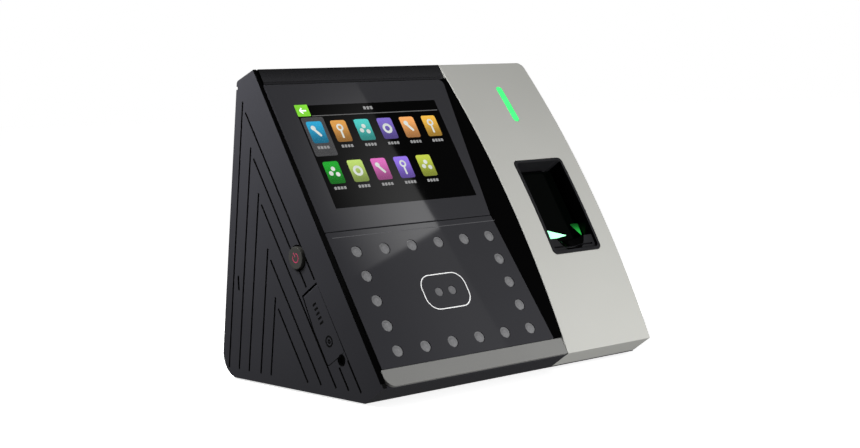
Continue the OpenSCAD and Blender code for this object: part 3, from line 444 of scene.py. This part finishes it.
# ---- trim strip ------------------------------------------------------------------------
# A flat bar painted satin grey that runs along the lip, under the glass.
moulding(
    "lip_strip",
    "trim_strip",
    finish(
        "strip_paint", (0.16, 0.16, 0.155), (0.195, 0.195, 0.188), 0.05, 0.3 * mm, (0.32, 0.42), 0.004 * mm
    ),
)

# ---- sensor panel ----------------------------------------------------------------------
# The arched shell on the right, sprayed in warm silver with a fine metal fleck and a satin
# lacquer over it.
silver = finish(
    "silver_paint",
    (0.47, 0.47, 0.44),
    (0.53, 0.53, 0.50),
    0.09,
    0.25 * mm,
    (0.34, 0.46),
    0.003 * mm,
    Metallic=0.15,
    Coat_Weight=0.25,
    Coat_Roughness=0.25,
)
moulding("silver_panel", "sensor_panel", silver, edge=0.3 * mm)

# ---- status light ----------------------------------------------------------------------
# A plain bar of green light pipe, set flush in the silver panel and lit from behind.


def lit(name, colour, strength, dim, run=None):
    """A lit translucent finish, a little uneven. With run it goes from dim to bright as fade does."""
    material = finish(name, [c * dim for c in colour], colour, 6 * mm, 0.5 * mm, (0.2, 0.3))
    if run:
        fade(material, *run)
    nodes, links = material.node_tree.nodes, material.node_tree.links
    shader = nodes["Principled BSDF"]
    tone = next(n for n in nodes if n.type == "MIX")
    links.new(tone.outputs["Result"], shader.inputs["Emission Color"])
    shader.inputs["Emission Strength"].default_value = strength
    return material


status_glow = lit("status_glow", (0.05, 0.70, 0.16), 1.1, 0.7)
moulding("status_bar", "status_light", status_glow, edge=0.2 * mm)

# ---- picture ---------------------------------------------------------------------------
# The lit part of the display: a black field with a title bar, a thin rule, a pale card behind
# the chosen tile, and two rows of coloured tiles with a plain sign and short dashes under each.
picture_margin = 3.5 * mm
picture_left = span("display_panel", across)[0] + picture_margin
picture_right = span("display_panel", across)[1] - picture_margin
picture_top = span("display_panel", up)[1] - picture_margin
picture_foot = span("display_panel", up)[0] + picture_margin


def tile(work, x0, x1, down0, down1, level, radius=0.0, turn=0.0):
    """A thin rounded plate on the glass, placed from the picture's top left corner."""
    middle_x, middle_down = (x0 + x1) / 2, (down0 + down1) / 2
    middle_at = Vector((picture_left + middle_x, picture_top - middle_down, glass_face + level * layer))
    made = bmesh.ops.create_cube(work, size=1.0)["verts"]
    bmesh.ops.scale(work, verts=made, vec=(x1 - x0, down1 - down0, layer))
    if radius:
        lines = {e for v in made for e in v.link_edges}
        upright = [e for e in lines if abs((e.verts[0].co - e.verts[1].co).z) > layer / 2]
        result = bmesh.ops.bevel(
            work, geom=upright, affect="EDGES", offset=radius, segments=4, profile=0.5, material=-1
        )
        made = list({v for f in result["faces"] for v in f.verts} | {v for v in made if v.is_valid})
    bmesh.ops.rotate(work, verts=made, cent=(0, 0, 0), matrix=Matrix.Rotation(turn, 3, "Z"))
    bmesh.ops.translate(work, verts=made, vec=middle_at)


def disc(work, x, down, radius, level, inner=0.0, sides=28):
    """A thin disc or ring on the glass."""
    at = Vector((picture_left + x, picture_top - down, glass_face + level * layer))
    if inner:
        rim = bmesh.ops.create_circle(work, radius=radius, segments=sides)["verts"]
        core = bmesh.ops.create_circle(work, radius=inner, segments=sides)["verts"]
        lines = list({e for v in rim + core for e in v.link_edges})
        bmesh.ops.bridge_loops(work, edges=lines)
        made = rim + core
    else:
        made = bmesh.ops.create_circle(work, cap_ends=True, radius=radius, segments=sides)["verts"]
    bmesh.ops.translate(work, verts=made, vec=at)


unlit = finish(
    "unlit_display", (0.0002, 0.0002, 0.0002), (0.0005, 0.0005, 0.0006), 0.03, 0.3 * mm, (0.02, 0.035)
)
unlit.node_tree.nodes["Principled BSDF"].inputs["Specular IOR Level"].default_value = 0.2
picture_w, picture_h = picture_right - picture_left, picture_top - picture_foot
field = bmesh.new()
field_level, card_level, tile_level, sign_level = 1, 2, 3, 4
tile(field, 0, picture_w, 0, picture_h, field_level)
on_front("picture_field", field, unlit)
rule_left, rule_short, rule_down, rule_w = 9 * mm, 1 * mm, 6.3 * mm, 0.5 * mm
bar = bmesh.new()
tile(bar, rule_left, picture_w - rule_short, rule_down, rule_down + rule_w, card_level)
on_front("title_rule", bar, lit("rule_grey", (0.09, 0.09, 0.09), 0.5, 0.8))

tile_w, tile_h, tile_pitch, tile_r = 10.1 * mm, 13.2 * mm, 15.78 * mm, 1.3 * mm
first_tile, row_down = 8.1 * mm, (16.5 * mm, 40.9 * mm)
chosen_left, chosen_down, chosen_w, chosen_h, chosen_r = 1 * mm, 7.3 * mm, 14.5 * mm, 23.6 * mm, 1.2 * mm
chosen = bmesh.new()
chosen_right, chosen_foot = chosen_left + chosen_w, chosen_down + chosen_h
tile(chosen, chosen_left, chosen_right, chosen_down, chosen_foot, card_level, chosen_r)
on_front("chosen_card", chosen, lit("card_grey", (0.05, 0.05, 0.052), 0.4, 0.7))

blue, brown, teal, violet = (0.02, 0.28, 0.48), (0.55, 0.26, 0.06), (0.06, 0.46, 0.42), (0.16, 0.11, 0.45)
orange, amber, leaf, lime = (0.72, 0.32, 0.10), (0.68, 0.38, 0.05), (0.01, 0.28, 0.02), (0.38, 0.52, 0.12)
pink, lilac, olive = (0.55, 0.12, 0.38), (0.22, 0.13, 0.60), (0.40, 0.46, 0.05)
rows = ((blue, brown, teal, violet, orange, amber), (leaf, lime, pink, lilac, olive))
tile_dashes, dash_start, dash_pitch = 4, 3.9 * mm, 2.05 * mm
dash_w, dash_h, dash_down, dash_r = 1.55 * mm, 1.7 * mm, 8.4 * mm, 0.3 * mm


def tile_sign(work, kind, x, down):
    """A plain sign in the middle of a tile: a stick and ball, a lens, three dots or a ring."""
    if kind == 0:
        stick_l, stick_w, stick_r, lean = 6.2 * mm, 1.6 * mm, 0.7 * mm, -0.9
        left, head = x - stick_l / 2, down - stick_w / 2
        tile(work, left, left + stick_l, head, head + stick_w, sign_level, stick_r, turn=lean)
        ball_aside, ball_above, ball_r = 1.6 * mm, 2.6 * mm, 1.5 * mm
        disc(work, x - ball_aside, down - ball_above, ball_r, sign_level)
    elif kind == 1:
        lens_r, lens_hole = 2.2 * mm, 1.1 * mm
        disc(work, x, down - lens_r, lens_r, sign_level, inner=lens_hole)
        grip_w, grip_l, grip_above, grip_r = 1.2 * mm, 4.6 * mm, 0.2 * mm, 0.4 * mm
        left, head = x - grip_w / 2, down - grip_above
        tile(work, left, left + grip_w, head, head + grip_l, sign_level, grip_r)
    elif kind == 2:
        dot_r = 1.35 * mm
        for aside, below in ((-2.0, 0.4), (0.2, -2.2), (2.1, 1.2)):
            disc(work, x + aside * mm, down + below * mm, dot_r, sign_level)
    else:
        ring_outer, ring_inner = 3.2 * mm, 1.6 * mm
        disc(work, x, down, ring_outer, sign_level, inner=ring_inner, sides=12)


signs = bmesh.new()
dashes = bmesh.new()
for row, colours in enumerate(rows):
    for column, colour in enumerate(colours):
        x, down = first_tile + column * tile_pitch, row_down[row]
        work = bmesh.new()
        tile_left, tile_head = x - tile_w / 2, down - tile_h / 2
        tile(work, tile_left, tile_left + tile_w, tile_head, tile_head + tile_h, tile_level, tile_r)
        key = f"{row + 1}_{column + 1}"
        tile_foot = picture_top - down - tile_h / 2
        # each tile is dim at its foot and bright at its top: a painted sheen over the screen's colour
        glow = lit(f"tile_colour_and_sheen_{key}", colour, 0.30, 0.35, (tile_foot, tile_foot + tile_h, up))
        on_front(f"tile_{key}", work, glow)
        tile_sign(signs, (row * len(rows[0]) + column) % 4, x, down)
        for dash in range(tile_dashes):
            left = x - dash_start + dash * dash_pitch
            dash_head = down + dash_down
            tile(dashes, left, left + dash_w, dash_head, dash_head + dash_h, sign_level, dash_r)
on_front("tile_signs", signs, lit("sign_white", (0.60, 0.64, 0.60), 0.35, 0.6))
name_left, name_down, name_pitch, letter_w, letter_h = 44.9 * mm, 2.1 * mm, 2.3 * mm, 1.7 * mm, 2 * mm
for dash in range(3):
    left = name_left + dash * name_pitch
    tile(dashes, left, left + letter_w, name_down, name_down + letter_h, sign_level, dash_r)
on_front("name_dashes", dashes, lit("dash_white", (0.26, 0.26, 0.26), 0.4, 0.6))

key_left, key_right, key_head, key_foot, key_r = 0.1 * mm, 8.5 * mm, -0.5 * mm, 6.6 * mm, 0.6 * mm
back = bmesh.new()
tile(back, key_left, key_right, key_head, key_foot, tile_level, key_r)
on_front("back_key", back, lit("back_green", (0.16, 0.50, 0.03), 0.6, 0.7))
shaft_left, shaft_right, shaft_head, shaft_foot = 3.0 * mm, 6.6 * mm, 2.7 * mm, 3.6 * mm
barb_left, barb_right, barb_w, barb_turn, arrow_r = 2.1 * mm, 4.5 * mm, 0.8 * mm, 0.75, 0.2 * mm
arrow = bmesh.new()
tile(arrow, shaft_left, shaft_right, shaft_head, shaft_foot, sign_level, arrow_r)
for head, turn in ((shaft_head - barb_w, barb_turn), (shaft_foot, -barb_turn)):
    tile(arrow, barb_left, barb_right, head, head + barb_w, sign_level, arrow_r, turn=turn)
on_front("back_arrow", arrow, lit("arrow_white", (0.8, 0.85, 0.8), 0.6, 0.8))

# ---- lamps and cameras -----------------------------------------------------------------
# Cloudy epoxy domes, and two camera lenses in the middle of them. A white line printed on the
# glass rings the cameras.
lens = finish(
    "lamp_dome",
    (0.12, 0.12, 0.125),
    (0.21, 0.21, 0.215),
    0.9 * mm,
    0.3 * mm,
    (0.12, 0.3),
    Coat_Weight=0.5,
    Coat_Roughness=0.08,
)
moulding("lamp_domes", "infrared_lamps", lens, edge=0.0, bend=50)
camera_glass = finish(
    "camera_glass",
    (0.09, 0.09, 0.095),
    (0.16, 0.16, 0.165),
    1.2 * mm,
    0.4 * mm,
    (0.08, 0.2),
    Coat_Weight=0.8,
)
moulding("camera_lenses", "camera_barrels", camera_glass, edge=0.2 * mm)
camera_x = sum(span("camera_barrels", across)) / 2
camera_v = sum(span("camera_barrels", up)) / 2
ring_w, ring_h, ring_r, ring_line = 30.3 * mm, 20.1 * mm, 7.6 * mm, 0.55 * mm
lamp_face = span("lamp_window", out)[1]
ring = bmesh.new()
bmesh.ops.create_grid(ring, x_segments=1, y_segments=1, size=0.5)
bmesh.ops.scale(ring, verts=ring.verts, vec=(ring_w, ring_h, 1.0))
bmesh.ops.bevel(
    ring, geom=list(ring.verts), affect="VERTICES", offset=ring_r, segments=10, profile=0.5, material=-1
)
whole = list(ring.faces)
bmesh.ops.inset_individual(ring, faces=whole, thickness=ring_line, use_even_offset=True)
bmesh.ops.delete(ring, geom=whole, context="FACES_ONLY")
bmesh.ops.translate(ring, verts=ring.verts, vec=(camera_x, camera_v, lamp_face + layer))
ring_piece = on_front(
    "camera_ring",
    ring,
    finish("ring_white", (0.78, 0.78, 0.78), (0.88, 0.88, 0.88), 5 * mm, 0.3 * mm, (0.3, 0.4)),
)
ring_thick = ring_piece.modifiers.new("ink", "SOLIDIFY")
ring_thick.thickness = layer
ring_thick.offset = 0.0

# ---- fingerprint sensor ----------------------------------------------------------------
# A block of coated optical glass at the bottom of the well. The lamps' green light at its lower corners
# is painted on as glowing patches: a bright wedge on the left and a faint triangle on the right.
coating = finish(
    "sensor_coating", (0.0003, 0.0006, 0.0004), (0.0006, 0.0010, 0.0008), 0.01, 0.5 * mm, (0.04, 0.08)
)
coating.node_tree.nodes["Principled BSDF"].inputs["Specular IOR Level"].default_value = 0.15
moulding("sensor_block", "sensor_prism", coating)
block_x, block_v = span("sensor_prism", across), span("sensor_prism", up)
block_top = span("sensor_prism", out)[1]
glow_proud, glow_t, glow_corner = 0.06 * mm, 0.05 * mm, 0.9 * mm


def glow_patch(name, outline, material):
    """A painted patch of light on the sensor block, from its corners in mm from the block's lower left."""
    work = bmesh.new()
    corners = [(block_x[0] + x * mm, block_v[0] + v * mm, block_top + glow_proud) for x, v in outline]
    work.faces.new([work.verts.new(corner) for corner in corners])
    bmesh.ops.bevel(
        work,
        geom=list(work.verts),
        affect="VERTICES",
        offset=glow_corner,
        segments=4,
        profile=0.5,
        material=-1,
    )
    piece = on_front(name, work, material)
    thick = piece.modifiers.new("body", "SOLIDIFY")
    thick.thickness = glow_t
    return piece


glow_patch(
    "glow_left",
    ((0.4, 9.6), (1.2, 4.6), (4.5, 2.0), (11.0, 2.0), (19.0, 3.0), (6.5, 7.0)),
    lit("glow_bright", (0.30, 0.95, 0.48), 1.6, 0.25, (block_x[0], block_x[0] + 9 * mm, across)),
)
glow_patch(
    "glow_right",
    ((25.0, 9.6), (31.6, 9.6), (30.6, 1.6)),
    lit("glow_dim", (0.02, 0.36, 0.05), 0.7, 0.12, (block_v[0] + 9.6 * mm, block_v[0] + 1.6 * mm, up)),
)

# ---- power button ----------------------------------------------------------------------
# A round key of smooth satin plastic on the left side, with a dim red ring-and-bar sign let
# into its face. It moves straight in.
key_grey = finish("key_plastic", (0.026, 0.026, 0.024), (0.036, 0.036, 0.033), 0.01, 0.4 * mm, (0.30, 0.42))
moulding("power_key", "power_button", key_grey, body="power_button", edge=0.1 * mm)
key_low, key_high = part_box("power_button")
key_middle = Vector((key_low.x, (key_low.y + key_high.y) / 2, (key_low.z + key_high.z) / 2))
sign = bmesh.new()
gap_half, ring_steps = radians(38), 26
sign_r, sign_w = 2.3 * mm, 0.55 * mm
bar_l, bar_above = 2.5 * mm, 1.75 * mm
sign.edges.new([sign.verts.new((0.0, sign_r + side * sign_w / 2, 0.0)) for side in (-1, 1)])
bmesh.ops.rotate(sign, verts=sign.verts, cent=(0, 0, 0), matrix=Matrix.Rotation(gap_half, 3, "Z"))
bmesh.ops.spin(
    sign,
    geom=list(sign.verts) + list(sign.edges),
    cent=(0, 0, 0),
    axis=(0, 0, 1),
    angle=2 * pi - 2 * gap_half,
    steps=ring_steps,
)
sign_bar = bmesh.ops.create_grid(sign, x_segments=1, y_segments=2, size=0.5)["verts"]
bmesh.ops.scale(sign, verts=sign_bar, vec=(sign_w, bar_l, 1.0))
bmesh.ops.translate(sign, verts=sign_bar, vec=(0, bar_above, 0))
bmesh.ops.recalc_face_normals(sign, faces=sign.faces)
outward = -across
to_side = Matrix((up.cross(outward), up, outward)).transposed().to_4x4()
face_dish, ink_t = 0.15 * mm, 0.06 * mm
sign_place = Matrix.Translation(key_middle - outward * face_dish)
bmesh.ops.transform(sign, matrix=sign_place @ to_side, verts=sign.verts)
power_sign = dress(
    from_bmesh("power_sign", sign),
    finish("sign_red", (0.20, 0.02, 0.05), (0.34, 0.04, 0.09), 1.5 * mm, 0.3 * mm, (0.35, 0.5)),
    "power_button",
)
power_thick = power_sign.modifiers.new("ink", "SOLIDIFY")
power_thick.thickness = ink_t
power_thick.offset = 0.0

# ---- side flap -------------------------------------------------------------------------
# A thin cover over the port and the reset key, on a steel pin at its upper end. Two plain marks
# are printed on it, a row of strokes and a ring with a dot.
moulding("flap", "side_flap", charcoal, body="side_flap", edge=0.2 * mm)
flap_along, flap_out = span("side_flap", up), span("side_flap", out)
flap_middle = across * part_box("side_flap")[0].x + out * sum(flap_out) / 2 + up * sum(flap_along) / 2
marks = bmesh.new()
strokes, stroke_l, stroke_w, stroke_pitch, first_stroke = 5, 3.2 * mm, 1.1 * mm, 2.6 * mm, 11.5 * mm
ring_down, ring_sides = 9.5 * mm, 24
for step in range(strokes):
    stroke = bmesh.ops.create_grid(marks, x_segments=1, y_segments=1, size=0.5)["verts"]
    bmesh.ops.scale(marks, verts=stroke, vec=(stroke_l, stroke_w, 1.0))
    bmesh.ops.translate(marks, verts=stroke, vec=(0, first_stroke - stroke_pitch * step, 0))
for radius, hole in ((3.0 * mm, 2.1 * mm), (1.2 * mm, 0.4 * mm)):
    outer = bmesh.ops.create_circle(marks, radius=radius, segments=ring_sides)["verts"]
    inner = bmesh.ops.create_circle(marks, radius=hole, segments=ring_sides)["verts"]
    bmesh.ops.bridge_loops(marks, edges=list({e for v in outer + inner for e in v.link_edges}))
    bmesh.ops.translate(marks, verts=outer + inner, vec=(0, -ring_down, 0))
marks_proud, marks_ink = 0.03 * mm, 0.04 * mm
marks_place = Matrix.Translation(flap_middle + outward * marks_proud)
bmesh.ops.transform(marks, matrix=marks_place @ to_side, verts=marks.verts)
flap_marks = dress(
    from_bmesh("flap_marks", marks),
    finish("mark_ink", (0.0008, 0.0008, 0.0008), (0.0015, 0.0015, 0.0015), 2 * mm, 0.3 * mm, (0.5, 0.6)),
    "side_flap",
)
flap_thick = flap_marks.modifiers.new("ink", "SOLIDIFY")
flap_thick.thickness = marks_ink
flap_thick.offset = 0.0

# ---- what stays as the CAD made it -----------------------------------------------------
# Feet, screws, sockets, boards and the small moving pins keep their shapes and get their own
# finishes: rubber, tinned or plated metal, solder mask, moulded plastic and polyimide.
rubber = finish(
    "foot_rubber_black", (0.012, 0.012, 0.012), (0.020, 0.020, 0.020), 0.01, 0.5 * mm, (0.7, 0.85), 0.02 * mm
)
zinc = finish(
    "zinc_plate", (0.36, 0.37, 0.38), (0.48, 0.49, 0.50), 2 * mm, 0.2 * mm, (0.28, 0.42), Metallic=1.0
)
tinned = finish(
    "tinned_steel", (0.50, 0.51, 0.52), (0.62, 0.63, 0.64), 4 * mm, 0.4 * mm, (0.22, 0.36), Metallic=1.0
)
mask = finish("solder_mask", (0.012, 0.12, 0.045), (0.02, 0.17, 0.065), 8 * mm, 0.6 * mm, (0.28, 0.4))
moulded = finish(
    "black_moulding", (0.014, 0.014, 0.016), (0.024, 0.024, 0.026), 5 * mm, 0.3 * mm, (0.4, 0.55), 0.01 * mm
)
white = finish("white_moulding", (0.52, 0.52, 0.48), (0.62, 0.62, 0.58), 3 * mm, 0.3 * mm, (0.35, 0.5))
green = finish("terminal_moulding", (0.03, 0.20, 0.08), (0.05, 0.27, 0.11), 4 * mm, 0.3 * mm, (0.4, 0.5))
film = finish("polyimide", (0.42, 0.19, 0.03), (0.56, 0.28, 0.06), 6 * mm, 0.5 * mm, (0.2, 0.3))
sheet = finish(
    "rolled_sheet", (0.42, 0.43, 0.44), (0.54, 0.55, 0.56), 12 * mm, 0.5 * mm, (0.3, 0.45), Metallic=1.0
)
wrap = finish("shrink_wrap", (0.03, 0.08, 0.19), (0.05, 0.12, 0.26), 10 * mm, 0.8 * mm, (0.2, 0.35))
foam = finish(
    "seal_foam_grey", (0.015, 0.015, 0.015), (0.03, 0.03, 0.03), 2 * mm, 0.4 * mm, (0.85, 0.95), 0.1 * mm
)
display_edge = finish(
    "display_edge", (0.008, 0.008, 0.010), (0.014, 0.014, 0.017), 0.02, 0.4 * mm, (0.1, 0.2)
)
kept = (
    ("feet", "rubber_feet", rubber, "foot_rubber", "root"),
    ("rear_screws", "cover_screws", zinc, "screw_steel", "root"),
    ("inner_screws", "board_screws", zinc, "screw_steel", "root"),
    ("tray_screw_set", "tray_screws", zinc, "screw_steel", "root"),
    ("hinge_pin", "flap_pin", zinc, "pin_steel", "root"),
    ("network_shell", "network_socket", tinned, "socket_steel", "root"),
    ("usb_shell", "usb_socket", tinned, "socket_steel", "root"),
    ("power_inlet", "dc_jack", moulded, "jack_black", "root"),
    ("wire_block", "terminal_block", green, "terminal_green", "root"),
    ("tamper_pin", "tamper_plunger", white, "white_plastic", "tamper_plunger"),
    ("reset_key", "reset_button", white, "white_plastic", "reset_button"),
    ("speaker_unit", "speaker", moulded, "module_black", "root"),
    ("speaker_ring", "speaker_seal", foam, "seal_foam", "root"),
    ("sensor_case", "sensor_module", moulded, "module_black", "root"),
    ("display_unit", "display_panel", display_edge, "display_black", "root"),
    ("display_frame", "display_tray", sheet, "tray_metal", "root"),
    ("lamp_circuit", "lamp_board", mask, "board_green", "root"),
    ("camera_circuit", "camera_board", mask, "board_green", "root"),
    ("main_circuit", "main_board", mask, "board_green", "root"),
    ("connector_circuit", "connector_board", mask, "board_green", "root"),
    ("side_circuit", "io_board", mask, "board_green", "root"),
    ("chips", "board_parts", moulded, "chip_black", "root"),
    ("reset_contact", "reset_switch", moulded, "chip_black", "root"),
    ("power_contact", "power_switch", moulded, "chip_black", "root"),
    ("tamper_contact", "tamper_switch", moulded, "chip_black", "root"),
    ("battery_pack", "backup_battery", wrap, "battery_wrap", "root"),
    ("display_cable", "screen_ribbon", film, "ribbon_amber", "root"),
    ("lamp_cable", "lamp_ribbon", film, "ribbon_amber", "root"),
)
for name, node, material, slot_name, body in kept:
    moulding(name, node, material, body, edge=0.1 * mm)
